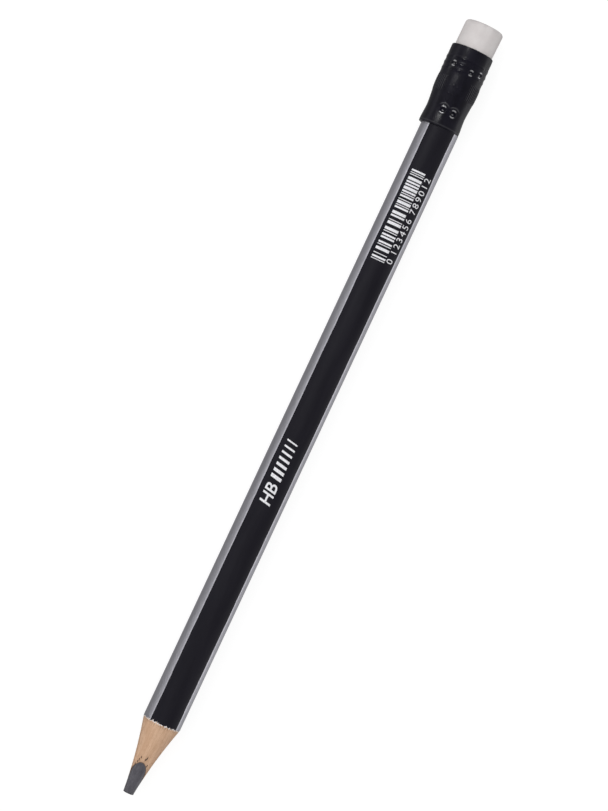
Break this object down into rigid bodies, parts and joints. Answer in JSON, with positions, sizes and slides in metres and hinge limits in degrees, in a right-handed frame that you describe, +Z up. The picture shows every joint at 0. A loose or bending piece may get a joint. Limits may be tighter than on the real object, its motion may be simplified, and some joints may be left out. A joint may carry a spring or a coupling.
{
  "type": "graphite pencil",
  "caption": "Round wood-cased graphite pencil with lengthwise black and silver lacquer stripes, a black crimped metal ferrule and a pale eraser, sharpened to a blunt hollow-ground point.",
  "frame": {"origin": "on the surface the pencil lies on, under the middle of its length", "axes": "+X along the pencil towards its sharpened point, +Y across it, +Z up from the surface"},
  "size_m": [0.175, 0.0094, 0.0093],
  "materials": {
    "graphite": "ground graphite and clay, faint metallic sheen",
    "cedar": "raw ground pencil wood, matt, fine straight grain",
    "black_lacquer": "smooth satin black lacquer",
    "silver_lacquer": "satin metallic silver lacquer",
    "ferrule_black": "black-lacquered thin aluminium, satin gloss",
    "eraser_white": "matt white vinyl or rubber, lightly smudged",
    "white_print": "thin white stamped foil print",
    "primer": "thin pale primer under the lacquer"
  },
  "bodies": {
    "root": {"graphite_core": "graphite", "wood_slat_upper": "cedar", "wood_slat_lower": "cedar", "lacquer_black_upper": "black_lacquer", "lacquer_black_lower": "black_lacquer", "lacquer_silver_left": "silver_lacquer", "lacquer_silver_right": "silver_lacquer", "ferrule": "ferrule_black", "eraser": "eraser_white"}
  },
  "joints": []
}
